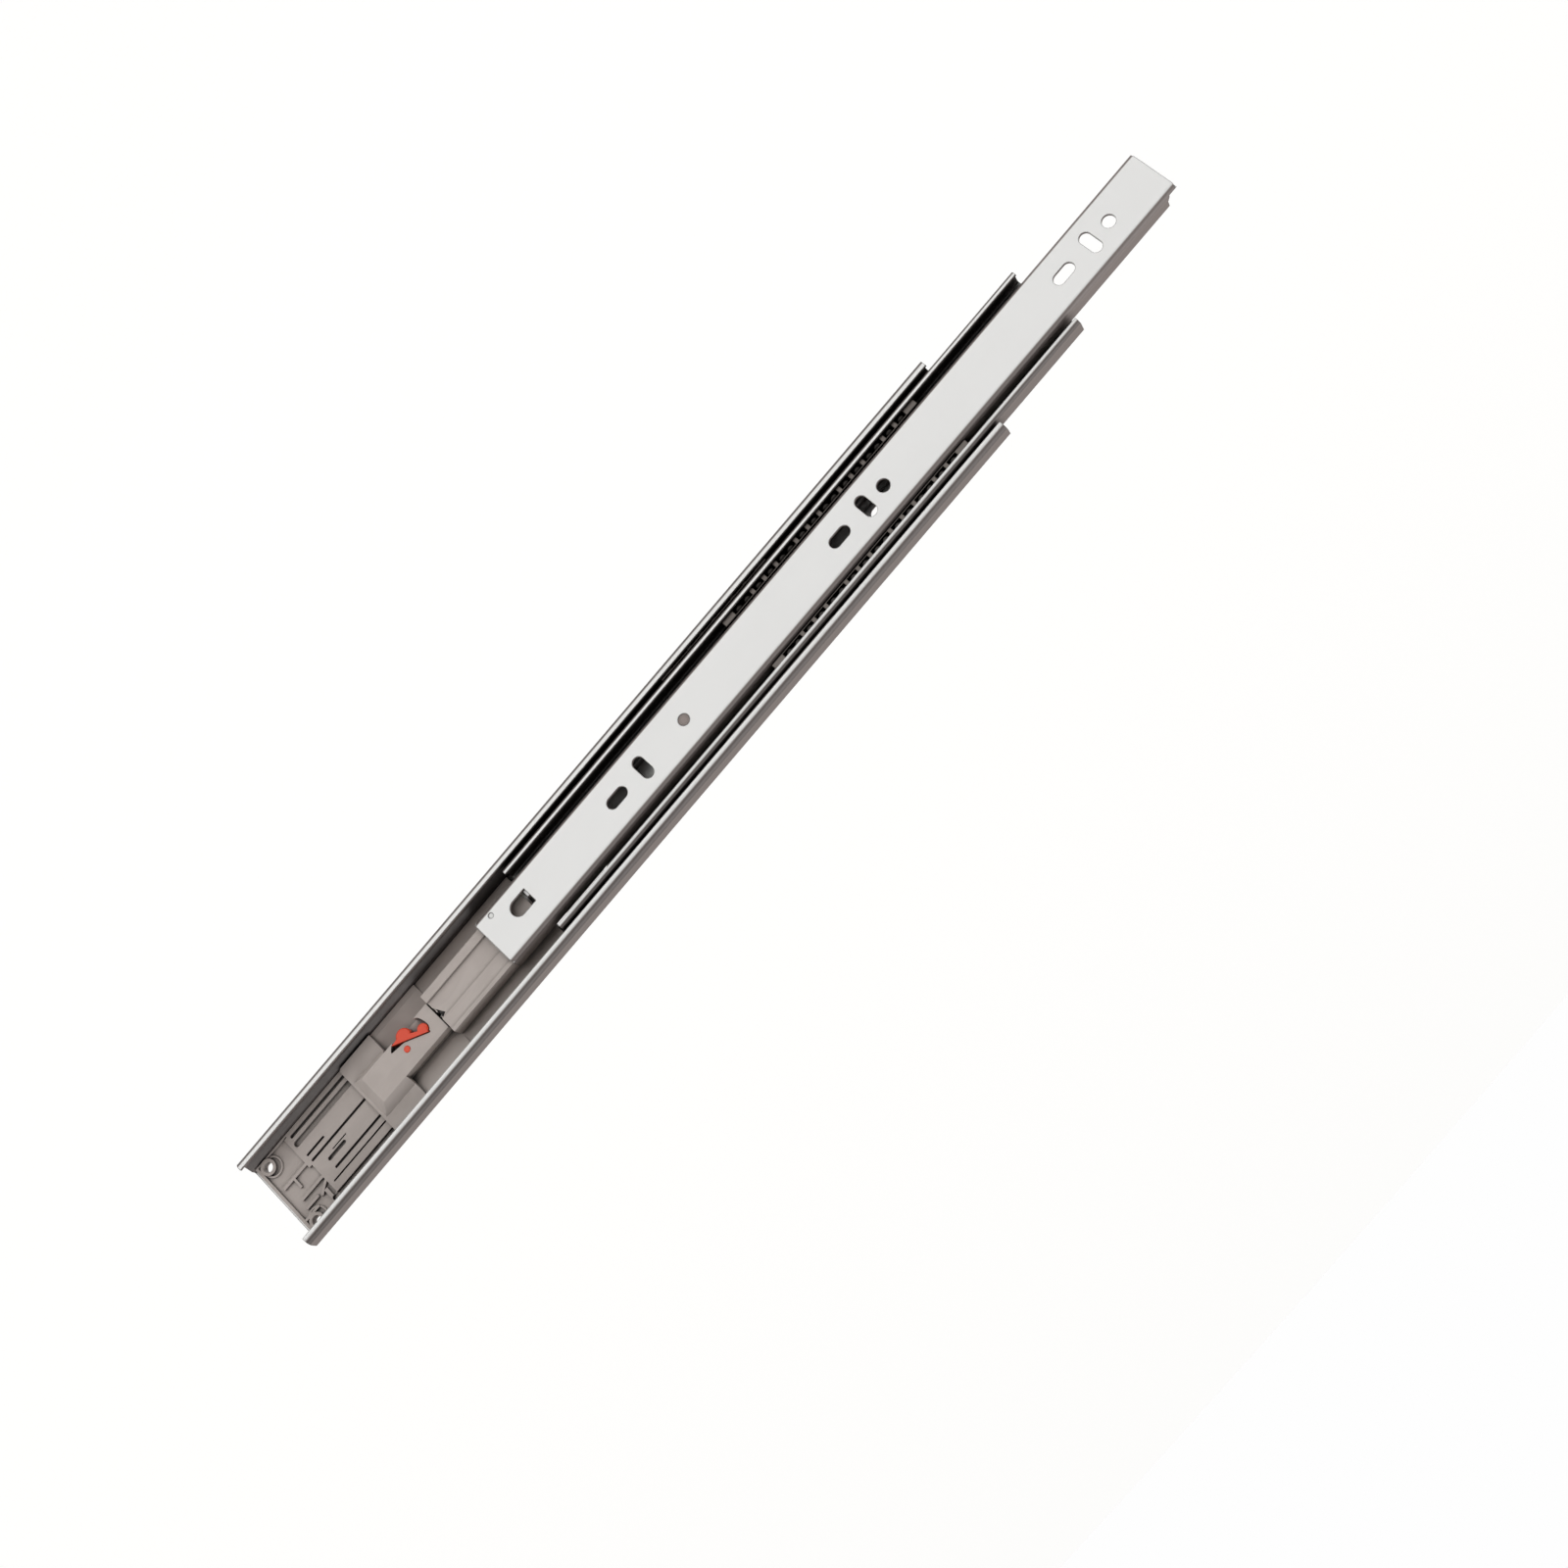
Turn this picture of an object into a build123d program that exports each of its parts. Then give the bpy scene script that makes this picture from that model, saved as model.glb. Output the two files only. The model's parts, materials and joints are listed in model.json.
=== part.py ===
from build123d import *
import os

# Full-extension ball-bearing drawer slide with a soft-close damper, drawn partly extended.
# X = 0 is the front end of the cabinet member and +X runs to the back of the cabinet.
# Y = 0 is the face that screws to the cabinet; depths are measured from it towards the drawer (-Y).
# Z = 0 is the centre line of the mounting holes, +Z up.

os.makedirs("parts", exist_ok=True)

# Driving dimensions, millimetres
outer_length = 400.0
middle_length = 295.0
inner_length = 378.0
middle_front = -47.0
inner_front = -108.0
sheet = 1.2
half_sheet = sheet / 2

outer_half = 22.5
middle_half = 17.5
inner_half = 11.6
slide_depth = 12.7
lip_depth = 12.5
middle_web = 3.2
channel_rise = 1.2

screw_hole = 5.5
slot_length = 10.0
slot_width = 5.0

outer_ball = 3.7
outer_ball_z = 19.4
outer_ball_depth = 8.2
inner_ball = 4.6
inner_ball_z = 13.95
inner_ball_depth = 8.4
strip = 0.6

# Damper unit
floor_top = 3.3
rear_floor_top = 2.3
base_half = 18.6
apron_top = 2.4
base_front = 304.5
base_rear = 398.6
spine_front = 250.0
spine_half = 10.0
trough_top = 7.9
cylinder_depth = 4.8
cylinder_radius = 3.0
cylinder_bore = 2.5
rod_radius = 1.0
carriage_bottom = 3.6
plate_top = 5.1
block_top = 6.2
cover_top = 7.8
catch_top = 8.4
block_front = 305.3
plate_front = 330.0
plate_rear = 348.0
plate_width = 36.4
raised_half = 9.8
block_low = -7.3
block_high = 6.0
pivot_x = 322.5
pivot_z = -0.9
spring_radius = 1.2
spring_places = [("spring_upper", 4.7), ("spring_lower", -5.4)]
guide_radius = 0.6
guide_sink = 2.0
running_fit = 0.05


def at(depth):
    """Sketch plane parallel to the cabinet face, seen from the drawer: local x is X, local y is Z."""
    return Plane.XZ.offset(depth)


def across(x):
    """Sketch plane across the slide: local x is Y, local y is Z."""
    return Plane.YZ.offset(x)


def mirrored(upper):
    """A section's corners from the upper lip to the web, then back out to the lower lip."""
    return upper + [(y, -z) for y, z in reversed(upper)]


def finish(piece, name):
    piece.part.label = name
    export_step(piece.part, f"parts/{name}.step")


# ---------------------------------------------------------------- cabinet member
tongues = [(24.5, 57.5), (89.0, 122.0), (219.0, 249.0)]
tongue_half = 9.0
tongue_centre = 0.9
slit = 1.2
outer_round_holes = [35.0, 67.0, 99.0, 131.0, 227.0]
outer_slots = [51.0, 115.0, 243.0, 259.0]
eyelet_x = 394.0
eyelet_z = 15.0
window_x = 6.9
window_z = 15.0
stop_z = 18.3

outer_corners = mirrored([
    (-lip_depth + half_sheet, 19.0),
    (-lip_depth + half_sheet, outer_half - half_sheet),
    (-5.6, outer_half - half_sheet),
    (-3.2, outer_half - half_sheet - 2.4),
    (-half_sheet, outer_half - half_sheet - 2.4),
])
outer_radii = [2.2, 1.2, 1.2, 1.4, 1.4, 1.2, 1.2, 2.2]

with BuildPart() as outer_rail:
    with BuildSketch(across(0)):
        with BuildLine():
            FilletPolyline(*outer_corners, radius=outer_radii)
        trace(line_width=sheet)
    extrude(amount=outer_length)
    # screw holes, slots and rivet holes
    with BuildSketch(at(0)):
        with Locations(*[(x, 0) for x in outer_round_holes]):
            Circle(screw_hole / 2)
        with Locations(*[(x, 0) for x in outer_slots]):
            SlotOverall(slot_length, slot_width)
        with Locations((eyelet_x, eyelet_z), (eyelet_x, -eyelet_z)):
            Circle(screw_hole / 2)
        with Locations((391.2, -1.8)):
            Rectangle(6.5, 6.5)
        # small pointed slot for the locating clip of the damper base
        with Locations((308.2, 0)):
            SlotOverall(8.0, 3.4)
        with Locations((6.6, 0)):
            SlotOverall(7.0, 5.5, rotation=90)
        with Locations((window_x, window_z), (window_x, -window_z)):
            Rectangle(4.3, 6.0)
    extrude(amount=sheet, mode=Mode.SUBTRACT)
    # U-shaped slits that free the spring tongues
    for front, rear in tongues:
        with BuildSketch(at(0)):
            with BuildLine():
                FilletPolyline(
                    (rear, tongue_centre + tongue_half),
                    (front, tongue_centre + tongue_half),
                    (front, tongue_centre - tongue_half),
                    (rear, tongue_centre - tongue_half),
                    radius=4.0,
                )
            trace(line_width=slit)
        extrude(amount=sheet, mode=Mode.SUBTRACT)
        # pressed line just inside the slit
        with BuildSketch(at(0)):
            with BuildLine():
                FilletPolyline(
                    (rear - 1, tongue_centre + tongue_half - 2.4),
                    (front + 2.4, tongue_centre + tongue_half - 2.4),
                    (front + 2.4, tongue_centre - tongue_half + 2.4),
                    (rear - 1, tongue_centre - tongue_half + 2.4),
                    radius=2.0,
                )
            trace(line_width=0.5)
        extrude(amount=0.2, mode=Mode.SUBTRACT)
    # wide ends of the last tongue's slits
    with BuildSketch(at(0)):
        last_end = tongues[-1][1] - 2.0
        with Locations(
            (last_end, tongue_centre + tongue_half - 0.7),
            (last_end, tongue_centre - tongue_half + 0.7),
        ):
            SlotOverall(5.6, 2.6)
    extrude(amount=sheet, mode=Mode.SUBTRACT)
    # lanced stops that end the outer ball race at the front
    with BuildSketch(at(half_sheet)):
        with Locations((window_x, stop_z), (window_x, -stop_z)):
            Rectangle(4.3, 0.8)
    extrude(amount=5.6)
finish(outer_rail, "outer_rail")

# ---------------------------------------------------------------- damper base
grooves = [  # z, width, front end, rear end
    (-12.4, 2.6, 330.5, 381.0),
    (14.2, 1.9, 330.5, 384.0),
    (-16.0, 1.4, 330.5, 380.0),
    (-5.9, 1.0, 370.0, 380.0),
    (-2.9, 1.1, 330.5, 380.0),
    (6.4, 1.1, 330.5, 375.0),
    (9.6, 0.7, 330.5, 379.0),
    (2.1, 1.6, 365.0, 375.0),
    (0.4, 0.5, 363.0, 371.0),
]
rear_ribs = [  # z, width, front end, rear end
    (-4.1, 1.2, 382.0, 395.5),
    (4.5, 1.2, 376.5, 393.0),
    (8.4, 1.1, 387.0, 394.0),
    (11.3, 1.0, 389.5, 397.5),
]
rear_floor_front = 381.0

with BuildPart() as damper_base:
    with BuildSketch(at(sheet)):
        with Locations(((base_front + base_rear) / 2, 0)):
            Rectangle(base_rear - base_front, 2 * base_half)
    extrude(amount=floor_top - sheet)
    low_edges = damper_base.edges().filter_by(Axis.X).group_by(Axis.Y)[-1]
    chamfer(low_edges, 0.9)
    # recessed rear floor with its ribs and the screw bosses
    with BuildSketch(at(rear_floor_top)):
        with Locations(((rear_floor_front + 397.4) / 2, 0)):
            Rectangle(397.4 - rear_floor_front, 2 * base_half - 1.4)
    extrude(amount=floor_top, mode=Mode.SUBTRACT)
    with BuildSketch(at(rear_floor_top)):
        for z, width, front, rear in rear_ribs:
            with Locations(((front + rear) / 2, z)):
                Rectangle(rear - front, width)
        with Locations((381.6, -9.7)):
            Rectangle(1.8, 15.6)
        with Locations((383.4, 12.4)):
            Rectangle(1.6, 7.0)
        with Locations((389.8, -1.6)):
            Rectangle(1.0, 5.0)
        with BuildLine():
            Spline((376.6, 5.0), (381.0, 6.6), (386.0, 9.6))
        trace(line_width=1.1)
    extrude(amount=floor_top - rear_floor_top)
    with BuildSketch(at(rear_floor_top)):
        with Locations((eyelet_x - 1.2, eyelet_z - 1), (eyelet_x - 1.2, -eyelet_z + 1)):
            Circle(4.3)
            Circle(3.6, mode=Mode.SUBTRACT)
    extrude(amount=0.7)
    # thin apron each side of the spine, under the middle member when the slide is shut
    with BuildSketch(at(sheet)):
        with Locations(((spine_front + base_front) / 2, 0)):
            Rectangle(base_front - spine_front, 2 * base_half)
    extrude(amount=apron_top - sheet)
    # forward spine: a trough for the damper cylinder
    with BuildSketch(at(sheet)):
        with Locations(((spine_front + base_front) / 2, 0)):
            Rectangle(base_front - spine_front, 2 * spine_half)
    extrude(amount=trough_top - sheet)
    with BuildSketch(across(spine_front + 1.0)):
        with Locations((-cylinder_depth, 0)):
            Circle(cylinder_radius + 0.05)
        with Locations((-(cylinder_depth + trough_top) / 2, 0)):
            Rectangle(trough_top - cylinder_depth, 2 * cylinder_radius + 0.1)
    extrude(amount=base_front - spine_front - 1.5, mode=Mode.SUBTRACT)
    # channels for the closing springs each side of the cylinder
    with BuildSketch(across(spine_front + 1.0)):
        for _, z in spring_places:
            with Locations((-cylinder_depth, z)):
                Circle(spring_radius + 0.15)
            with Locations((-(cylinder_depth + trough_top) / 2, z)):
                Rectangle(trough_top - cylinder_depth, 2 * spring_radius + 0.3)
    extrude(amount=base_front - spine_front, mode=Mode.SUBTRACT)
    # way out for the damper rod
    with BuildSketch(across(base_front - 1.0)):
        with Locations((-cylinder_depth, 0)):
            Circle(rod_radius + 0.3)
        with Locations((-(cylinder_depth + trough_top) / 2, 0)):
            Rectangle(trough_top - cylinder_depth, 2 * rod_radius + 0.6)
    extrude(amount=3.0, mode=Mode.SUBTRACT)
    # guide grooves and drain slots in the floor
    with BuildSketch(at(2.0)):
        for z, width, front, rear in grooves:
            with Locations(((front + rear) / 2, z)):
                SlotOverall(rear - front, width)
    extrude(amount=floor_top - 2.0 + 0.1, mode=Mode.SUBTRACT)
    # side pockets, deepest beside the carriage's block
    with BuildSketch(across(base_front - 0.1)):
        for edge, side in ((block_low, -1), (block_high, 1)):
            Polygon(
                (-floor_top - 0.1, edge),
                (-1.7, edge),
                (-1.7, edge + side * 1.6),
                (-floor_top - 0.1, edge + side * 9.4),
                align=None,
            )
    extrude(amount=plate_front + 2.6 - base_front, mode=Mode.SUBTRACT)
    # bore for the eyelets
    with BuildSketch(at(sheet)):
        with Locations((eyelet_x, eyelet_z), (eyelet_x, -eyelet_z)):
            Circle(screw_hole / 2)
    extrude(amount=4.0, mode=Mode.SUBTRACT)
    # clips that stand in the web's window and pointed slot
    with BuildSketch(at(0.2)):
        with Locations((391.2, -3.4), (391.2, 0.0)):
            Rectangle(6.0, 1.5)
        with Locations((308.2, 0)):
            SlotOverall(7.2, 2.6)
    extrude(amount=1.0)
finish(damper_base, "damper_base")

with BuildPart() as base_eyelets:
    with BuildSketch(at(0)):
        with Locations((eyelet_x, eyelet_z), (eyelet_x, -eyelet_z)):
            Circle(2.7)
            Circle(2.1, mode=Mode.SUBTRACT)
    extrude(amount=floor_top)
    with BuildSketch(at(floor_top)):
        with Locations((eyelet_x, eyelet_z), (eyelet_x, -eyelet_z)):
            Circle(3.3)
            Circle(2.1, mode=Mode.SUBTRACT)
    extrude(amount=0.6)
finish(base_eyelets, "base_eyelets")

# ---------------------------------------------------------------- damper cylinder
cylinder_front = spine_front + 1.2
cylinder_rear = base_front - 0.7
plug_length = 2.5

with BuildPart() as damper_cylinder:
    with BuildSketch(across(cylinder_front)):
        with Locations((-cylinder_depth, 0)):
            Circle(cylinder_radius)
            Circle(cylinder_bore, mode=Mode.SUBTRACT)
    extrude(amount=cylinder_rear - cylinder_front)
finish(damper_cylinder, "damper_cylinder")

with BuildPart() as cylinder_plug:
    with BuildSketch(across(cylinder_front)):
        with Locations((-cylinder_depth, 0)):
            Circle(cylinder_bore)
    extrude(amount=plug_length)
finish(cylinder_plug, "cylinder_plug")

with BuildPart() as cylinder_gland:
    with BuildSketch(across(cylinder_rear - plug_length)):
        with Locations((-cylinder_depth, 0)):
            Circle(cylinder_bore)
            Circle(rod_radius + 0.05, mode=Mode.SUBTRACT)
    extrude(amount=plug_length)
finish(cylinder_gland, "cylinder_gland")

# Snap-on lid of the spine: a low middle band lets the activator tab pass over it
cover_low = 8.5
cover_bands = [  # z from, z to, top depth
    (-spine_half, -6.5, 9.6),
    (-6.5, 2.7, cover_low),
    (2.7, 8.4, 9.1),
    (8.4, spine_half, 9.6),
]
with BuildPart() as spine_cover:
    for low, high, top in cover_bands:
        with BuildSketch(at(trough_top)):
            with Locations(((spine_front + base_front) / 2, (low + high) / 2)):
                Rectangle(base_front - spine_front, high - low)
        extrude(amount=top - trough_top)
    # three-cornered notch above the rod
    with BuildSketch(at(trough_top)):
        with BuildLine():
            Polyline((base_front, 2.4), (base_front - 2.6, 1.4), (base_front, -3.6), close=True)
        make_face()
    extrude(amount=3.0, mode=Mode.SUBTRACT)
    fillet(spine_cover.edges().filter_by(Axis.Y).group_by(Axis.X)[0].group_by(Axis.Z)[0], 1.5)
    fillet(spine_cover.edges().filter_by(Axis.Y).group_by(Axis.X)[0].group_by(Axis.Z)[-1], 1.5)
finish(spine_cover, "spine_cover")

# ---------------------------------------------------------------- closing springs
# Compression springs beside the cylinder push the carriage back once the catch lets go
for name, z in spring_places:
    with BuildPart() as spring:
        with BuildSketch(across(spine_front + 1.0)):
            with Locations((-cylinder_depth, z)):
                Circle(spring_radius)
                Circle(guide_radius + running_fit, mode=Mode.SUBTRACT)
        extrude(amount=block_front - running_fit - spine_front - 1.0)
    finish(spring, name)

# ---------------------------------------------------------------- carriage and catch
catch_tilt = -28.6
claw_edge = -3.2
claw_front = -10.6
claw_tail = 5.6
claw_lobes = [(0.1, -5.2, 3.3), (-8.2, -5.0, 2.4)]
catch_swing = 20
catch_gap = 0.4
between_lobes = (315.6, -6.2)


def on_pin(turn):
    """Place of the catch in a plane parallel to the cabinet face, turned from its parked position."""
    return Location((pivot_x, pivot_z, 0), (0, 0, catch_tilt + turn))


# two round lobes on a straight back, drawn about the pin
with BuildSketch() as lobes:
    for x, y, radius in claw_lobes:
        with Locations((x, y)):
            Circle(radius)
    Polygon(
        (claw_tail, claw_edge),
        (2.0, claw_edge - 2.4),
        (-9.4, claw_edge - 1.4),
        (claw_front, claw_edge),
        align=None,
    )
    with Locations((0, claw_edge + 10)):
        Rectangle(40, 20, mode=Mode.SUBTRACT)

# hub round the pin and the arm that carries the lobes
with BuildSketch() as arm:
    Circle(2.2)
    Polygon(
        (2.2, 0),
        (3.6, claw_edge - 0.4),
        (-9.8, claw_edge - 0.4),
        (-9.8, claw_edge + 0.6),
        (-2.2, 0),
        align=None,
    )

with BuildSketch() as lobes_with_gap:
    offset(lobes.sketch, amount=catch_gap)
with BuildSketch() as catch_with_gap:
    offset(lobes.sketch, amount=catch_gap)
    offset(arm.sketch, amount=catch_gap, mode=Mode.ADD)
swing = [on_pin(turn) for turn in range(0, catch_swing + 1, 4)]

with BuildPart() as carriage:
    # full-width plate and central block
    with BuildSketch(at(carriage_bottom)):
        with Locations(((plate_front + plate_rear) / 2, 0)):
            Rectangle(plate_rear - plate_front, plate_width)
        with Locations(((block_front + plate_front) / 2, (block_low + block_high) / 2)):
            Rectangle(plate_front - block_front, block_high - block_low)
    extrude(amount=plate_top - carriage_bottom)
    fillet(carriage.edges().filter_by(Axis.Y).group_by(Axis.X)[-1], 1.5)
    with BuildSketch(at(plate_top)):
        with Locations(((block_front + plate_front) / 2, (block_low + block_high) / 2)):
            Rectangle(plate_front - block_front, block_high - block_low)
    extrude(amount=block_top - plate_top)
    # raised middle of the plate, level with the block and sloping down to the plate's edges
    with BuildSketch(at(plate_top)):
        with Locations(((plate_front + plate_rear - 1.0) / 2, 0)):
            Rectangle(plate_rear - 1.0 - plate_front, 2 * raised_half)
    with BuildSketch(at(cover_top)):
        with Locations(((plate_front + plate_rear - 5.0) / 2, (block_low + block_high) / 2)):
            Rectangle(plate_rear - 5.0 - plate_front, block_high - block_low)
    loft()
    # runners in the guide grooves
    with BuildSketch(at(2.3)):
        for z in (-12.4, 14.2):
            with Locations((plate_front + 7.0, z)):
                Rectangle(10.0, 1.0)
    extrude(amount=carriage_bottom - 2.3)
    # hollow for the catch, wide enough for its whole swing
    with BuildSketch(at(4.6)):
        with Locations(*swing):
            add(catch_with_gap.sketch)
        with Locations(between_lobes):
            Rectangle(4.2, 3.4)
    extrude(amount=6.0, mode=Mode.SUBTRACT)
    with BuildSketch(at(carriage_bottom)):
        with Locations((pivot_x, pivot_z)):
            Circle(1.0)
    extrude(amount=2.0, mode=Mode.SUBTRACT)
    with BuildSketch(across(block_front)):
        with Locations((-cylinder_depth, 0)):
            Circle(rod_radius)
    extrude(amount=3.5, mode=Mode.SUBTRACT)
    with BuildSketch(across(block_front)):
        for _, z in spring_places:
            with Locations((-cylinder_depth, z)):
                Circle(guide_radius)
    extrude(amount=guide_sink, mode=Mode.SUBTRACT)
finish(carriage, "carriage")

# thin rods that keep the springs straight
with BuildPart() as spring_guides:
    with BuildSketch(across(spine_front + 3.0)):
        for _, z in spring_places:
            with Locations((-cylinder_depth, z)):
                Circle(guide_radius)
    extrude(amount=block_front + guide_sink - spine_front - 3.0)
finish(spring_guides, "spring_guides")

with BuildPart() as catch_cover:
    with BuildSketch(at(block_top)):
        with Locations(((block_front + plate_front) / 2, (block_low + block_high) / 2)):
            Rectangle(plate_front - block_front, block_high - block_low)
    extrude(amount=cover_top - block_top)
    # window for the lobes over the whole swing
    with BuildSketch(at(block_top)):
        with Locations(*swing):
            add(lobes_with_gap.sketch)
        with Locations(between_lobes):
            Rectangle(4.2, 3.4)
        with Locations((pivot_x, pivot_z)):
            Circle(1.4)
    extrude(amount=3.0, mode=Mode.SUBTRACT)
finish(catch_cover, "catch_cover")

with BuildPart() as catch:
    with BuildSketch(at(4.8)):
        with Locations(on_pin(0)):
            add(arm.sketch)
            Circle(1.05, mode=Mode.SUBTRACT)
    extrude(amount=1.2)
    with BuildSketch(at(4.8)):
        with Locations(on_pin(0)):
            add(lobes.sketch)
    extrude(amount=catch_top - 4.8)
    fillet(catch.faces().sort_by(Axis.Y)[0].edges().filter_by(GeomType.CIRCLE), 0.9)
finish(catch, "catch")

with BuildPart() as catch_pin:
    with BuildSketch(at(carriage_bottom + 0.1)):
        with Locations((pivot_x, pivot_z)):
            Circle(1.0)
    extrude(amount=cover_top + 0.4 - carriage_bottom - 0.1)
    with BuildSketch(at(block_top + 0.1)):
        with Locations((pivot_x, pivot_z)):
            Circle(1.35)
    extrude(amount=cover_top + 0.4 - block_top - 0.1)
    fillet(catch_pin.faces().sort_by(Axis.Y)[0].edges(), 0.4)
finish(catch_pin, "catch_pin")

piston_front = cylinder_front + plug_length + 0.8
piston_length = 3.0

with BuildPart() as piston_rod:
    with BuildSketch(across(piston_front + piston_length)):
        with Locations((-cylinder_depth, 0)):
            Circle(rod_radius)
    extrude(amount=block_front + 3.4 - piston_front - piston_length)
finish(piston_rod, "piston_rod")

with BuildPart() as piston:
    with BuildSketch(across(piston_front)):
        with Locations((-cylinder_depth, 0)):
            Circle(cylinder_bore - 0.05)
    extrude(amount=piston_length)
    with BuildSketch(across(piston_front + 1.1)):
        with Locations((-cylinder_depth, 0)):
            Circle(cylinder_bore)
            Circle(cylinder_bore - 0.5, mode=Mode.SUBTRACT)
    extrude(amount=0.8, mode=Mode.SUBTRACT)
finish(piston, "piston")

# ---------------------------------------------------------------- middle member
middle_wall = middle_half - half_sheet
web_mid = middle_web + half_sheet
middle_corners = mirrored([
    (-lip_depth + half_sheet, 15.0),
    (-lip_depth + half_sheet, middle_wall),
    (-web_mid, middle_wall),
    (-web_mid, 7.1),
    (-web_mid + channel_rise, 5.9),
])
middle_radii = [1.5, 1.6, 0.9, 0.9, 0.9, 0.9, 1.6, 1.5]
stop_x = middle_front + 10.2
stop_peg_z = 9.4
slot_end = middle_front + 24.0
fork_depth = 57.0

with BuildPart() as middle_rail:
    with BuildSketch(across(middle_front)):
        with BuildLine():
            FilletPolyline(*middle_corners, radius=middle_radii)
        trace(line_width=sheet)
    extrude(amount=middle_length)
    with BuildSketch(at(1.0)):
        # long front slot
        with Locations((slot_end + 42.0, 0.4)):
            SlotOverall(84.0, 8.8)
        # fork that straddles the damper spine when the slide is shut
        with Locations((middle_front + middle_length, 0)):
            SlotOverall(2 * fork_depth, 23.0)
        with Locations((stop_x, stop_peg_z), (stop_x, -stop_peg_z)):
            Circle(1.6)
    extrude(amount=4.2, mode=Mode.SUBTRACT)
finish(middle_rail, "middle_rail")

# Black buffer across the channel, with a hump towards the front
with BuildPart() as front_stop:
    with BuildSketch(at(1.5)):
        with Locations((stop_x, 0)):
            Rectangle(6.4, 19.2)
        with Locations((stop_x - 3.0, 0)):
            Circle(3.6)
    extrude(amount=middle_web - channel_rise - 1.5)
    with BuildSketch(at(1.5)):
        with Locations((stop_x, 9.6), (stop_x, -9.6)):
            Rectangle(6.4, 3.8)
    extrude(amount=middle_web - 1.5)
    with BuildSketch(at(middle_web)):
        with Locations((stop_x, stop_peg_z), (stop_x, -stop_peg_z)):
            Circle(1.55)
    extrude(amount=sheet + 0.1)
finish(front_stop, "front_stop")

# Rounded nose at the front of the channel, with an eye-shaped opening
with BuildPart() as nose_buffer:
    with BuildSketch(at(middle_web - channel_rise)):
        with BuildLine():
            ThreePointArc((middle_front, -6.3), (middle_front - 3.4, 0), (middle_front, 6.3))
            Line((middle_front, 6.3), (middle_front, -6.3))
        make_face()
        with BuildLine():
            ThreePointArc((middle_front - 0.7, -3.4), (middle_front - 2.2, 0), (middle_front - 0.7, 3.4))
            Line((middle_front - 0.7, 3.4), (middle_front - 0.7, -3.4))
        make_face(mode=Mode.SUBTRACT)
    extrude(amount=sheet)
finish(nose_buffer, "nose_buffer")

# ---------------------------------------------------------------- drawer member
inner_corners = mirrored([
    (-5.5, inner_half - half_sheet),
    (-slide_depth + half_sheet, inner_half - half_sheet),
])
inner_round_holes = [25.0, 153.0]
inner_cross_slots = [35.2, 163.0, 291.0]
inner_long_slots = [50.3, 178.0, 306.0]
rivet_x = inner_front + 267.5
claw_hole_x = inner_front + 360.0
claw_hole_z = -1.6

with BuildPart() as inner_rail:
    with BuildSketch(across(inner_front)):
        with BuildLine():
            FilletPolyline(*inner_corners, radius=2.0)
        trace(line_width=sheet)
    extrude(amount=inner_length)
    # flanges stop short of the rounded front edge of the web
    with BuildSketch(Plane.XY.offset(-inner_half)):
        with BuildLine():
            Polyline(
                (inner_front - 1, 0),
                (inner_front - 1, -11.3),
                (inner_front + 4.0, -11.3),
                (inner_front + 5.6, -9.0),
                (inner_front + 5.6, 0),
                close=True,
            )
        make_face()
    extrude(amount=2 * inner_half, mode=Mode.SUBTRACT)
    with BuildSketch(at(slide_depth - sheet - 0.5)):
        for x in inner_round_holes:
            with Locations((inner_front + x, 0)):
                Circle(screw_hole / 2)
        for x in inner_cross_slots:
            with Locations((inner_front + x, 0)):
                SlotOverall(slot_length + 0.4, slot_width, rotation=90)
        for x in inner_long_slots:
            with Locations((inner_front + x, 0)):
                SlotOverall(slot_length, slot_width)
        with Locations((rivet_x, 0)):
            Circle(1.55)
        # hole that the activator tab is bent out of
        with Locations((claw_hole_x - 1.7, claw_hole_z)):
            Rectangle(6.6, 7.0)
        with Locations((claw_hole_x + 1.5, claw_hole_z)):
            Circle(3.5)
    extrude(amount=sheet + 1.0, mode=Mode.SUBTRACT)
    with BuildSketch(at(slide_depth - 0.3)):
        with Locations((inner_front + 371.0, -8.2)):
            Circle(1.1)
        with Locations((rivet_x, 0)):
            Circle(2.4)
    extrude(amount=0.5, mode=Mode.SUBTRACT)
    # activator tab, bent in towards the catch
    with BuildSketch(at(8.9)):
        with Locations((claw_hole_x - 4.4, -3.5)):
            Rectangle(sheet, 3.0)
    extrude(amount=slide_depth - sheet + 0.2 - 8.9)
    # rounded corners at both ends of the web
    with BuildSketch(at(slide_depth - sheet - 0.1)):
        with Locations((inner_front + inner_length / 2, 0)):
            Rectangle(inner_length + 2, 2 * inner_half + 2)
            RectangleRounded(inner_length, 2 * inner_half + 0.2, 2.6, mode=Mode.SUBTRACT)
    extrude(amount=sheet + 0.5, mode=Mode.SUBTRACT)
finish(inner_rail, "inner_rail")

with BuildPart() as web_rivet:
    with BuildSketch(at(slide_depth - sheet - 0.5)):
        with Locations((rivet_x, 0)):
            Circle(2.3)
    extrude(amount=0.5)
    with BuildSketch(at(slide_depth - sheet)):
        with Locations((rivet_x, 0)):
            Circle(1.5)
    extrude(amount=sheet - 0.3)
    with BuildSketch(at(slide_depth - 0.3)):
        with Locations((rivet_x, 0)):
            Circle(2.3)
    extrude(amount=0.2)
finish(web_rivet, "web_rivet")

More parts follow.
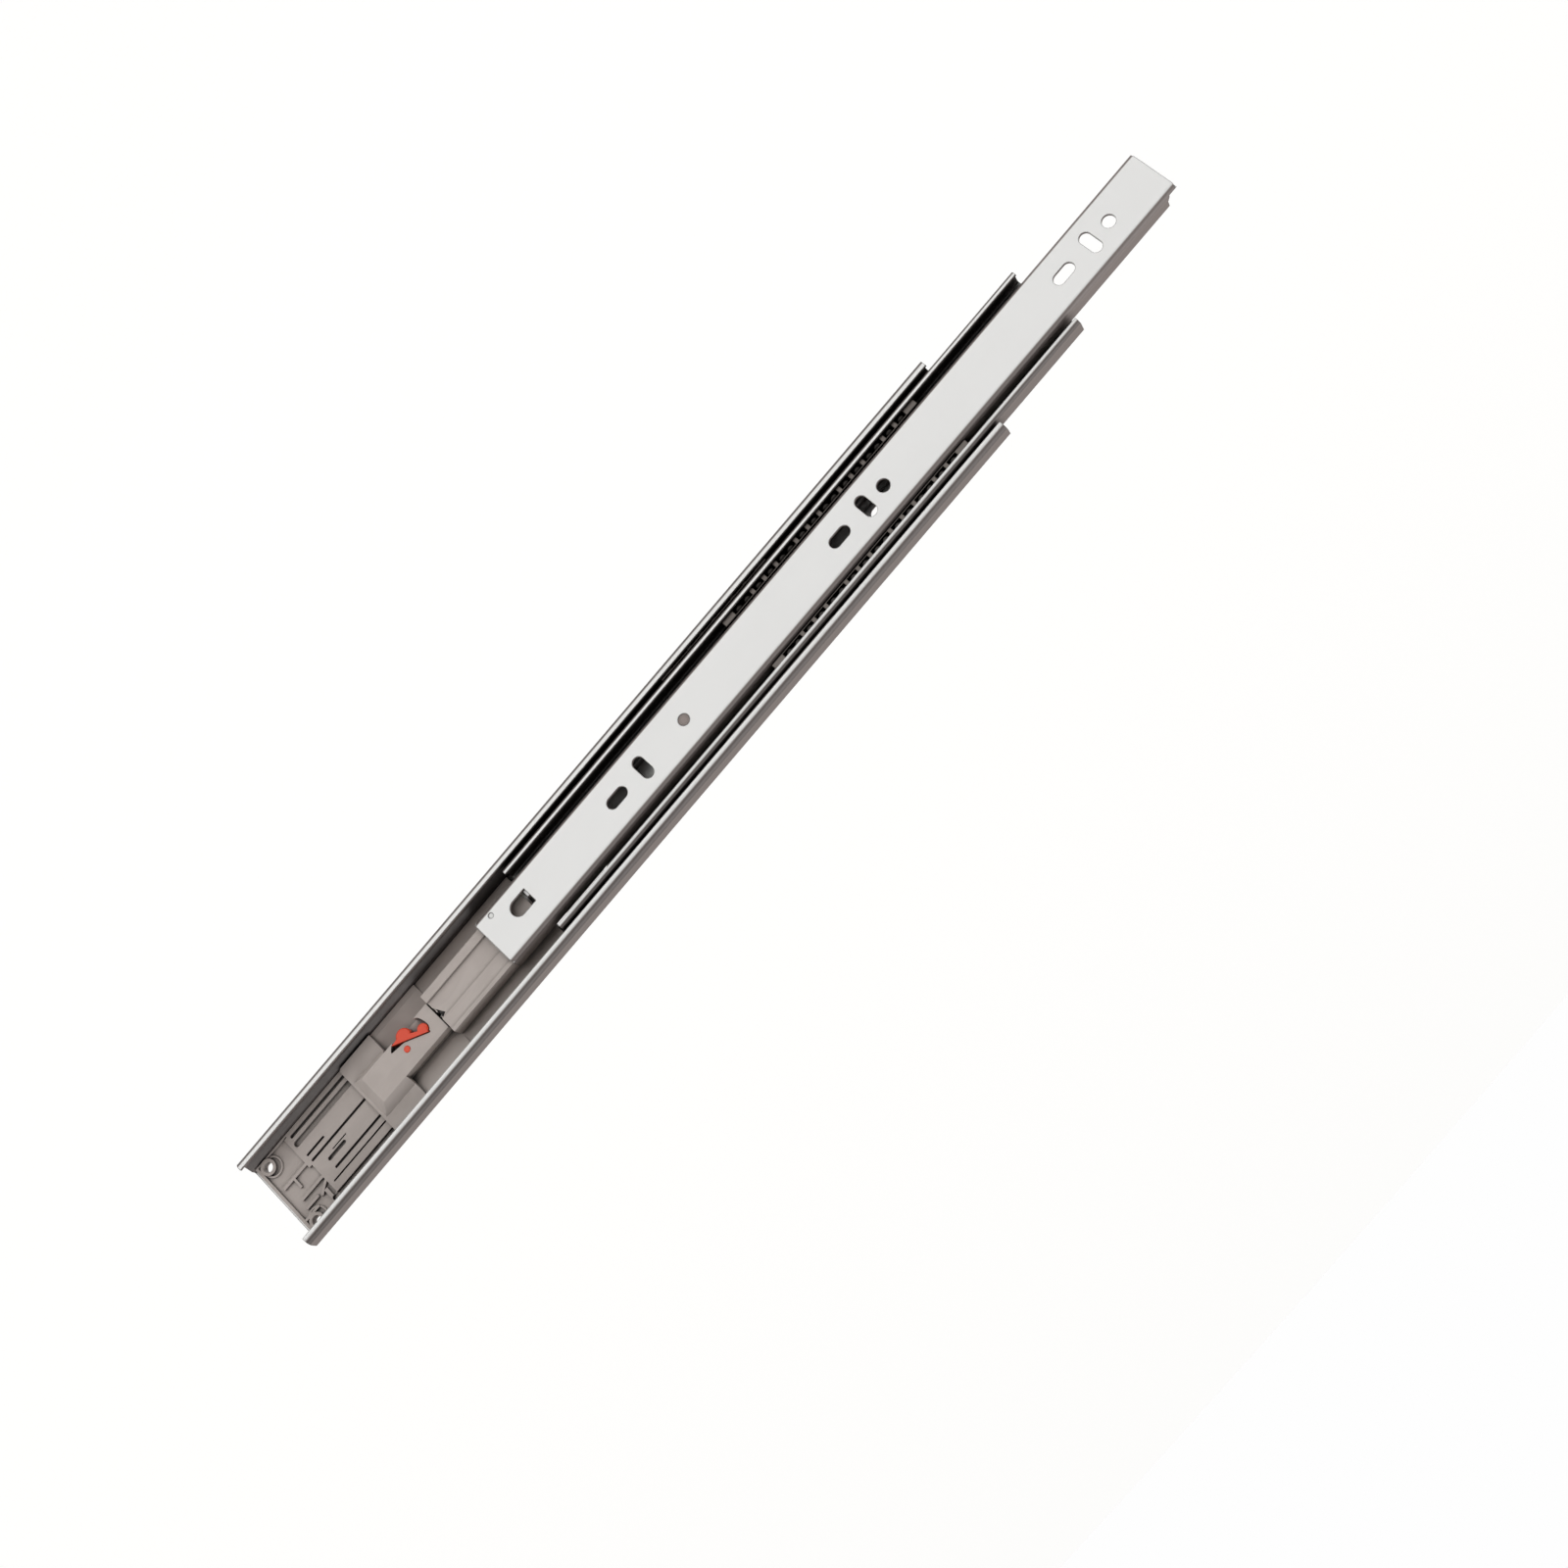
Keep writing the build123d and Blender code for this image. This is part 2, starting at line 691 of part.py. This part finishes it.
# ---------------------------------------------------------------- ball retainers
# Windows of a retainer come in groups of two short and one long; bar, short, long
outer_windows = (2.0, 5.0, 9.0)
inner_windows = (1.8, 4.9, 9.8)
outer_cage_front = 94.0
outer_cage_groups = 2
inner_cage_front = 13.0
inner_cage_groups = 4
cage_end = 4.0
cage_plate = 4.7
ball_gap = 0.1


def windows(front, groups, pattern):
    """Centre and length of each window of a retainer."""
    bar, short, long = pattern
    spans = []
    x = front + cage_end + bar
    for _ in range(groups):
        for length in (short, short, long):
            spans.append((x + length / 2, length))
            x += length + bar
    return spans


def ball_places(front, groups, pattern, diameter):
    """One ball in each short window and two in each long one."""
    places = []
    for centre, length in windows(front, groups, pattern):
        if length > pattern[1]:
            places.append(centre - (diameter + ball_gap) / 2)
            places.append(centre + (diameter + ball_gap) / 2)
        else:
            places.append(centre)
    return places


def cage_length(groups, pattern):
    bar, short, long = pattern
    return 2 * cage_end + bar + groups * (3 * bar + 2 * short + long)


def outer_cage(side, name):
    length = cage_length(outer_cage_groups, outer_windows)
    middle = outer_cage_front + length / 2
    with BuildPart() as cage:
        with BuildSketch(at(5.9)):
            with Locations((middle, side * outer_ball_z)):
                Rectangle(length, strip)
        extrude(amount=4.6)
        with BuildSketch(at(10.2)):
            with Locations((middle, side * (outer_ball_z - 0.2))):
                Rectangle(length, 2.4)
        extrude(amount=strip)
        with BuildSketch(at(6.3)):
            for centre, window in windows(outer_cage_front, outer_cage_groups, outer_windows):
                with Locations((centre, side * (outer_ball_z - 0.2))):
                    Rectangle(window, 1.6)
        extrude(amount=5.0, mode=Mode.SUBTRACT)
    finish(cage, name)


def ball_row(places, diameter, depth, z, name):
    with BuildPart() as balls:
        with Locations(*[(x, -depth, z) for x in places]):
            Sphere(diameter / 2)
    finish(balls, name)


outer_cage(1, "outer_cage_upper")
outer_cage(-1, "outer_cage_lower")
outer_places = ball_places(outer_cage_front, outer_cage_groups, outer_windows, outer_ball)
ball_row(outer_places, outer_ball, outer_ball_depth, outer_ball_z, "outer_balls_upper")
ball_row(outer_places, outer_ball, outer_ball_depth, -outer_ball_z, "outer_balls_lower")

with BuildPart() as inner_cage:
    length = cage_length(inner_cage_groups, inner_windows)
    middle = inner_cage_front + length / 2
    # bridge plate between the two strips, behind the drawer member
    with BuildSketch(at(cage_plate)):
        with Locations((middle, 0)):
            Rectangle(length, 2 * inner_ball_z + strip)
    extrude(amount=0.5)
    with BuildSketch(at(cage_plate)):
        for side in (1, -1):
            with Locations((middle, side * inner_ball_z)):
                Rectangle(length, strip)
    extrude(amount=6.2)
    with BuildSketch(at(10.3)):
        for side in (1, -1):
            with Locations((middle, side * inner_ball_z)):
                Rectangle(length, 3.4)
    extrude(amount=strip)
    with BuildSketch(at(5.9)):
        for side in (1, -1):
            for centre, window in windows(inner_cage_front, inner_cage_groups, inner_windows):
                with Locations((centre, side * inner_ball_z)):
                    Rectangle(window, 2.8)
    extrude(amount=5.2, mode=Mode.SUBTRACT)
    with BuildSketch(at(cage_plate)):
        with Locations((middle, 0)):
            RectangleRounded(length - 16, 15.0, 3.0)
    extrude(amount=0.5, mode=Mode.SUBTRACT)
finish(inner_cage, "inner_cage")

inner_places = ball_places(inner_cage_front, inner_cage_groups, inner_windows, inner_ball)
ball_row(inner_places, inner_ball, inner_ball_depth, inner_ball_z, "inner_balls_upper")
ball_row(inner_places, inner_ball, inner_ball_depth, -inner_ball_z, "inner_balls_lower")
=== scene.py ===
import json
import math

import bmesh
import bpy
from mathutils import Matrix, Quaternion, Vector


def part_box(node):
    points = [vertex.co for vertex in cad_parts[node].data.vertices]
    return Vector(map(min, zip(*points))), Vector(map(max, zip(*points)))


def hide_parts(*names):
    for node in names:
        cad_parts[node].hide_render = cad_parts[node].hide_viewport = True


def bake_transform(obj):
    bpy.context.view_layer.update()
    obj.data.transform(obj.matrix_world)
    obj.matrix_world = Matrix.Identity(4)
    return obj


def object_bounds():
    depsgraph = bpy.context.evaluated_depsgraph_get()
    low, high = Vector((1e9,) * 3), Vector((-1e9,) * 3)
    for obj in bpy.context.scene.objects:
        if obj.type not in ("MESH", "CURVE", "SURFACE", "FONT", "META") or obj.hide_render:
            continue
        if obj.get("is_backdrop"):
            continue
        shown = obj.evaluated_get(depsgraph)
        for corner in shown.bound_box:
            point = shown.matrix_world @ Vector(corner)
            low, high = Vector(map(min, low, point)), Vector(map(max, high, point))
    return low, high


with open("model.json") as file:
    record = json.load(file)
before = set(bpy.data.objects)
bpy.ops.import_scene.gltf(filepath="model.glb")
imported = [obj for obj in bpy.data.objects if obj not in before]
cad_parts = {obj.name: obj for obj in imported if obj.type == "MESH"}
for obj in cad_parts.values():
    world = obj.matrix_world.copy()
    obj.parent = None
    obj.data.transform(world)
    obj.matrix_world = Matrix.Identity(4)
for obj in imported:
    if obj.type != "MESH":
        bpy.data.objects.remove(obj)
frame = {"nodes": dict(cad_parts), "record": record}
cad_low, cad_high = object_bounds()

MM = 0.001


# ---------------------------------------------------------------- material helpers
class Nodes:
    """A material's node tree, with short ways to add the nodes used here."""

    def __init__(self, name):
        self.material = bpy.data.materials.new(name)
        self.material.use_nodes = True
        self.tree = self.material.node_tree
        self.tree.nodes.clear()
        self.output = self.add("ShaderNodeOutputMaterial")
        self.shader = self.add("ShaderNodeBsdfPrincipled")
        self.link(self.shader.outputs["BSDF"], self.output.inputs["Surface"])
        self.place = self.add("ShaderNodeTexCoord").outputs["Object"]

    def add(self, kind, **settings):
        node = self.tree.nodes.new(kind)
        for key, value in settings.items():
            setattr(node, key, value)
        return node

    def link(self, source, target):
        self.tree.links.new(source, target)

    def put(self, target, value):
        """Sets a socket to a number or colour, or links it."""
        if isinstance(value, bpy.types.NodeSocket):
            self.link(value, target)
        else:
            target.default_value = value

    def scaled(self, scale):
        mapping = self.add("ShaderNodeMapping")
        mapping.inputs["Scale"].default_value = scale
        self.link(self.place, mapping.inputs["Vector"])
        return mapping.outputs["Vector"]

    def noise(self, scale, detail=3.0, roughness=0.55, distortion=0.0):
        node = self.add("ShaderNodeTexNoise")
        node.inputs["Scale"].default_value = 1.0
        node.inputs["Detail"].default_value = detail
        node.inputs["Roughness"].default_value = roughness
        node.inputs["Distortion"].default_value = distortion
        self.link(self.scaled(scale), node.inputs["Vector"])
        return node.outputs["Fac"]

    def ramp(self, value, low, high, to_low=0.0, to_high=1.0):
        """Smooth step of a value from to_low to to_high."""
        node = self.add("ShaderNodeMapRange", interpolation_type="SMOOTHSTEP")
        self.put(node.inputs["Value"], value)
        node.inputs["From Min"].default_value = low
        node.inputs["From Max"].default_value = high
        node.inputs["To Min"].default_value = to_low
        node.inputs["To Max"].default_value = to_high
        return node.outputs["Result"]

    def math(self, operation, a, b=0.0):
        node = self.add("ShaderNodeMath", operation=operation)
        self.put(node.inputs[0], a)
        self.put(node.inputs[1], b)
        return node.outputs["Value"]

    def mix(self, factor, a, b):
        node = self.add("ShaderNodeMix", data_type="RGBA")
        self.put(node.inputs["Factor"], factor)
        self.put(node.inputs["A"], a)
        self.put(node.inputs["B"], b)
        return node.outputs["Result"]

    def bump(self, height, distance, strength=1.0, normal=None):
        node = self.add("ShaderNodeBump")
        node.inputs["Distance"].default_value = distance
        node.inputs["Strength"].default_value = strength
        self.link(height, node.inputs["Height"])
        if normal is not None:
            self.link(normal, node.inputs["Normal"])
        return node.outputs["Normal"]

    def flatness(self):
        """1 where a surface lies parallel to the cabinet face, 0 where it stands across it."""
        split = self.add("ShaderNodeSeparateXYZ")
        self.link(self.add("ShaderNodeTexCoord").outputs["Normal"], split.inputs["Vector"])
        return self.math("ABSOLUTE", split.outputs["Y"])

    def rims(self, radius):
        """1 close to a sharp edge, 0 away from it."""
        rounded = self.add("ShaderNodeBevel", samples=6)
        rounded.inputs["Radius"].default_value = radius
        alike = self.add("ShaderNodeVectorMath", operation="DOT_PRODUCT")
        self.link(rounded.outputs["Normal"], alike.inputs[0])
        self.link(self.add("ShaderNodeNewGeometry").outputs["Normal"], alike.inputs[1])
        return self.ramp(alike.outputs["Value"], 0.93, 0.999, 1.0, 0.0)

    def occlusion(self, distance):
        """Nearly 0 deep in a crevice, 1 in the open."""
        node = self.add("ShaderNodeAmbientOcclusion", samples=8)
        node.inputs["Distance"].default_value = distance
        return node.outputs["AO"]


def linear(r, g, b):
    """A colour given as it shows on a screen, 0 to 255, as the shader wants it."""
    def one(value):
        value /= 255
        return value / 12.92 if value <= 0.04045 else ((value + 0.055) / 1.055) ** 2.4
    return (one(r), one(g), one(b), 1.0)


def dimmed(colour, share):
    """The same colour at a share of its brightness."""
    return tuple(c * share for c in colour[:3]) + (1.0,)


def steel(name, colour, shaded_wall, roughness=0.3, grain=0.004, crevice=0.08, metallic=1.0, reach=5.0,
          bend_shade=1.0, rim=0.6):
    """Rolled steel: flats of one tone; walls and bends, picked by which way they face, take a darker colour
    as painted shade, and thin dark rims at cut edges are painted shade too.

    Reach and rim are in millimetres: how far the painted crevice shade reaches and how wide a painted dark
    rim is.
    """
    n = Nodes(name)
    lines = n.noise((20, 1500, 1500), detail=2.0)
    spangle = n.noise((420, 420, 420), detail=2.0, distortion=0.6)
    patches = n.noise((24, 60, 60), detail=2.0)
    # Painted shade: surfaces standing across the cabinet face and the bends between take the darker wall
    # colour, bends darker still, in place of reflected darker surroundings.
    level = n.flatness()
    flat = n.ramp(level, 0.9, 0.99)
    bend = n.math("MULTIPLY", n.ramp(level, 0.15, 0.5), n.ramp(level, 0.8, 0.97, 1.0, 0.0))
    side = n.mix(bend, shaded_wall, dimmed(shaded_wall, bend_shade))
    tone = n.mix(flat, side, colour)
    worn = dimmed(colour, 0.94)
    tone = n.mix(n.ramp(patches, 0.4, 0.7, 0.0, 0.25), tone, n.mix(flat, side, worn))
    # Painted shade: thin dark rims along sharp edges, where rounded edges would show darker reflections.
    painted_rim_shade = dimmed(shaded_wall, 0.35)
    tone = n.mix(n.math("MULTIPLY", n.rims(rim * MM), 0.8), tone, painted_rim_shade)
    # Painted shade: crevices and hollows are darkened towards a near-black tone, the more the more enclosed
    # they are.
    open_air = n.ramp(n.occlusion(reach * MM), 0.2, 0.8)
    dark = dimmed(shaded_wall, crevice)
    n.link(n.mix(open_air, dark, tone), n.shader.inputs["Base Color"])
    n.shader.inputs["Metallic"].default_value = metallic
    gloss = n.math("ADD", n.ramp(lines, 0.3, 0.7, roughness - 0.02, roughness + 0.03),
                   n.ramp(spangle, 0.35, 0.65, -0.01, 0.02))
    n.link(gloss, n.shader.inputs["Roughness"])
    n.link(n.bump(lines, grain * MM, 0.3), n.shader.inputs["Normal"])
    return n.material


def moulded(name, colour, shade, roughness=0.5, pores=0.006, coat=0.0, crevice=0.1):
    """Moulded plastic: fine spark-eroded texture, faint flow clouds, and painted shade that darkens the
    crevices.
    """
    n = Nodes(name)
    pits = n.noise((1800, 1800, 1800), detail=2.0)
    clouds = n.noise((70, 160, 160), detail=3.0, distortion=0.8)
    # Painted shade: crevices and hollows are darkened towards a dim copy of the plastic's colour, the more
    # the more enclosed they are.
    open_air = n.ramp(n.occlusion(4 * MM), 0.25, 0.85)
    tone = n.mix(n.ramp(clouds, 0.3, 0.7), colour, shade)
    dark = dimmed(colour, crevice)
    n.link(n.mix(open_air, dark, tone), n.shader.inputs["Base Color"])
    n.link(n.ramp(pits, 0.3, 0.7, roughness - 0.04, roughness + 0.05), n.shader.inputs["Roughness"])
    n.link(n.bump(pits, pores * MM, 0.3), n.shader.inputs["Normal"])
    n.shader.inputs["Coat Weight"].default_value = coat
    n.shader.inputs["Coat Roughness"].default_value = 0.25
    return n.material


# Painted shade: the brown-grey given to the rails' walls and bends, in place of their reflection of darker
# surroundings.
wall_shade_brown = linear(138, 128, 124)
zinc = steel("zinc_steel", linear(250, 250, 249), wall_shade_brown, roughness=0.42, metallic=0.25, bend_shade=0.6)
# Painted shade: on the rails the crevice darkening reaches 11 mm, so raceways turn near-black.
zinc_rail = steel("zinc_rail", linear(250, 250, 249), wall_shade_brown, roughness=0.34, metallic=0.3, crevice=0.04,
                  reach=11.0, bend_shade=0.3)
cage = steel("cage_steel", linear(118, 112, 108), linear(96, 90, 86), roughness=0.34, crevice=0.05)
chrome = steel("ball_steel", linear(70, 67, 65), linear(62, 59, 57), roughness=0.3, grain=0.0, crevice=0.05)
pin_steel = steel("pin_steel", linear(196, 194, 192), linear(188, 185, 182), roughness=0.26, reach=2.0)
rivet_head = steel("rivet_head", linear(150, 140, 136), linear(96, 88, 84), roughness=0.4, grain=0.0)
spring_wire = steel("spring_wire", linear(168, 166, 164), linear(160, 157, 154), roughness=0.28, reach=2.0)
taupe = moulded("taupe_plastic", linear(198, 188, 182), linear(192, 182, 176))
orange = moulded("orange_plastic", linear(240, 82, 48), linear(232, 72, 42), roughness=0.36, coat=0.2,
                 crevice=0.25)
black = moulded("black_plastic", linear(30, 27, 25), linear(38, 34, 32), roughness=0.4)

slot_material = {
    "zinc_steel": zinc,
    "cage_steel": cage,
    "ball_steel": chrome,
    "steel_pin": pin_steel,
    "spring_steel": spring_wire,
    "taupe_plastic": taupe,
    "orange_plastic": orange,
    "black_plastic": black,
}
node_material = {"outer_rail": zinc_rail, "middle_rail": zinc_rail, "web_rivet": rivet_head}

for row in frame["record"]["subparts"]:
    node = frame["nodes"][row["node"]]
    node.data.materials.clear()
    node.data.materials.append(node_material.get(row["node"], slot_material[row["material_slot"]]))


# ---------------------------------------------------------------- closing springs
def tube(name, points, radius, sides=8):
    """A closed round wire along the points, capped at both ends."""
    mesh = bmesh.new()
    rings = []
    side = Vector((0.0, 1.0, 0.0))
    for i, point in enumerate(points):
        ahead = points[min(i + 1, len(points) - 1)] - points[max(i - 1, 0)]
        ahead.normalize()
        side = (side - ahead * side.dot(ahead)).normalized()
        other = ahead.cross(side)
        ring = []
        for k in range(sides):
            turn = 2 * math.pi * k / sides
            offset = side * math.cos(turn) + other * math.sin(turn)
            ring.append(mesh.verts.new(point + offset * radius))
        rings.append(ring)
    for first, second in zip(rings, rings[1:]):
        for k in range(sides):
            nxt = (k + 1) % sides
            mesh.faces.new((first[k], first[nxt], second[nxt], second[k]))
    mesh.faces.new(list(reversed(rings[0])))
    mesh.faces.new(rings[-1])
    bmesh.ops.recalc_face_normals(mesh, faces=mesh.faces)
    data = bpy.data.meshes.new(name)
    mesh.to_mesh(data)
    mesh.free()
    for face in data.polygons:
        face.use_smooth = True
    piece = bpy.data.objects.new(name, data)
    bpy.context.scene.collection.objects.link(piece)
    return piece


turns = 60
steps_per_turn = 14
wire_radius = 0.25 * MM
coil_inset = wire_radius * 1.05  # keeps the many-sided wire inside the spring's own size


def coil_path(start, end, axis, radius):
    """Points of an even coil that runs along X."""
    points = []
    total = turns * steps_per_turn
    for i in range(total + 1):
        turn = 2 * math.pi * i / steps_per_turn
        across = Vector((0.0, math.sin(turn), math.cos(turn))) * radius
        points.append(Vector((start + (end - start) * i / total, axis.y, axis.z)) + across)
    return points


for name in ("spring_upper", "spring_lower"):
    low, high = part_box(name)
    axis = (low + high) / 2
    start = low.x + wire_radius
    end = high.x - wire_radius
    coil_radius = (high.z - low.z) / 2 - coil_inset
    points = coil_path(start, end, axis, coil_radius)
    spring = tube(name + "_coil", points, wire_radius)
    spring.data.materials.append(spring_wire)
    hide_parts(name)
    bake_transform(spring)


# ---------------------------------------------------------------- floor
floor_drop = 1.0
floor_radius = 14.0


def disc(name, radius, height, segments=96):
    """A flat round sheet at one height."""
    mesh = bmesh.new()
    bmesh.ops.create_circle(mesh, cap_ends=True, radius=radius, segments=segments)
    data = bpy.data.meshes.new(name)
    mesh.to_mesh(data)
    mesh.free()
    piece = bpy.data.objects.new(name, data)
    piece.location = (0, 0, height)
    bpy.context.scene.collection.objects.link(piece)
    return piece


floor = disc("floor", floor_radius, cad_low.z - floor_drop)
paper = Nodes("paper")
fibre = paper.noise((300, 300, 300), detail=4.0)
paper.link(paper.mix(fibre, linear(252, 252, 251), linear(255, 255, 254)), paper.shader.inputs["Base Color"])
paper.shader.inputs["Roughness"].default_value = 0.9
floor.data.materials.append(paper.material)
floor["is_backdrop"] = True

# ---------------------------------------------------------------- studio light
# The camera sees a plain backdrop. Light and reflections come from a sky that is dark at the
# horizon and brightens upwards
backdrop_colour = linear(254, 254, 254)
sky_stops = [  # sine of the elevation above the horizon, and colour
    (0.00, linear(40, 36, 34)),
    (0.16, linear(60, 55, 52)),
    (0.30, linear(152, 150, 149)),
    (0.60, linear(182, 182, 182)),
    (1.00, linear(214, 213, 212)),
]
sun_strength = 1.75
sun_spread = math.radians(60)
sun_tilt = (math.radians(12), math.radians(-8), 0)

world = bpy.data.worlds.new("studio")
bpy.context.scene.world = world
world.use_nodes = True
sky = world.node_tree
sky.nodes.clear()
sky_output = sky.nodes.new("ShaderNodeOutputWorld")
background = sky.nodes.new("ShaderNodeBackground")
backdrop = sky.nodes.new("ShaderNodeBackground")
backdrop.inputs["Color"].default_value = backdrop_colour
seen = sky.nodes.new("ShaderNodeLightPath")
either = sky.nodes.new("ShaderNodeMixShader")
sky.links.new(seen.outputs["Is Camera Ray"], either.inputs["Fac"])
sky.links.new(background.outputs["Background"], either.inputs[1])
sky.links.new(backdrop.outputs["Background"], either.inputs[2])
sky.links.new(either.outputs["Shader"], sky_output.inputs["Surface"])
direction = sky.nodes.new("ShaderNodeTexCoord")
split = sky.nodes.new("ShaderNodeSeparateXYZ")
sky.links.new(direction.outputs["Generated"], split.inputs["Vector"])
ramp = sky.nodes.new("ShaderNodeValToRGB")
sky.links.new(split.outputs["Z"], ramp.inputs["Fac"])
while len(ramp.color_ramp.elements) < len(sky_stops):
    ramp.color_ramp.elements.new(0.5)
for element, (position, colour) in zip(ramp.color_ramp.elements, sky_stops):
    element.position = position
    element.color = colour
sky.links.new(ramp.outputs["Color"], background.inputs["Color"])
background.inputs["Strength"].default_value = 1.0

sun_data = bpy.data.lights.new("sky_light", "SUN")
sun_data.energy = sun_strength
sun_data.angle = sun_spread
sun = bpy.data.objects.new("sky_light", sun_data)
sun.rotation_euler = sun_tilt
bpy.context.scene.collection.objects.link(sun)

# ---------------------------------------------------------------- camera
camera_azimuth = math.radians(-2.33)
camera_elevation = math.radians(22.0)
camera_roll = math.radians(131.42)
camera_distance = 0.904
focal_share = 2500 / 1600  # focal length as a share of the picture's width
aim_offset = Vector((0.007, 0.0, 0.045))  # places the slide off the picture's centre
aim = (cad_low + cad_high) / 2 + aim_offset

camera_data = bpy.data.cameras.new("camera")
camera_data.sensor_width = 36.0
camera_data.lens = camera_data.sensor_width * focal_share
camera_data.clip_start = 0.05
camera_data.clip_end = 40.0
camera = bpy.data.objects.new("camera", camera_data)
bpy.context.scene.collection.objects.link(camera)
back = Vector((
    math.sin(camera_azimuth) * math.cos(camera_elevation),
    -math.cos(camera_azimuth) * math.cos(camera_elevation),
    math.sin(camera_elevation),
))
camera.location = aim + back * camera_distance
camera.rotation_mode = "QUATERNION"
camera.rotation_quaternion = (-back).to_track_quat("-Z", "Y") @ Quaternion((0, 0, 1), camera_roll)
bpy.context.scene.camera = camera

bpy.context.scene.view_settings.view_transform = "Standard"
bpy.context.scene.view_settings.look = "None"

# ---------------------------------------------------------------- sizes
low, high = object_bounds()
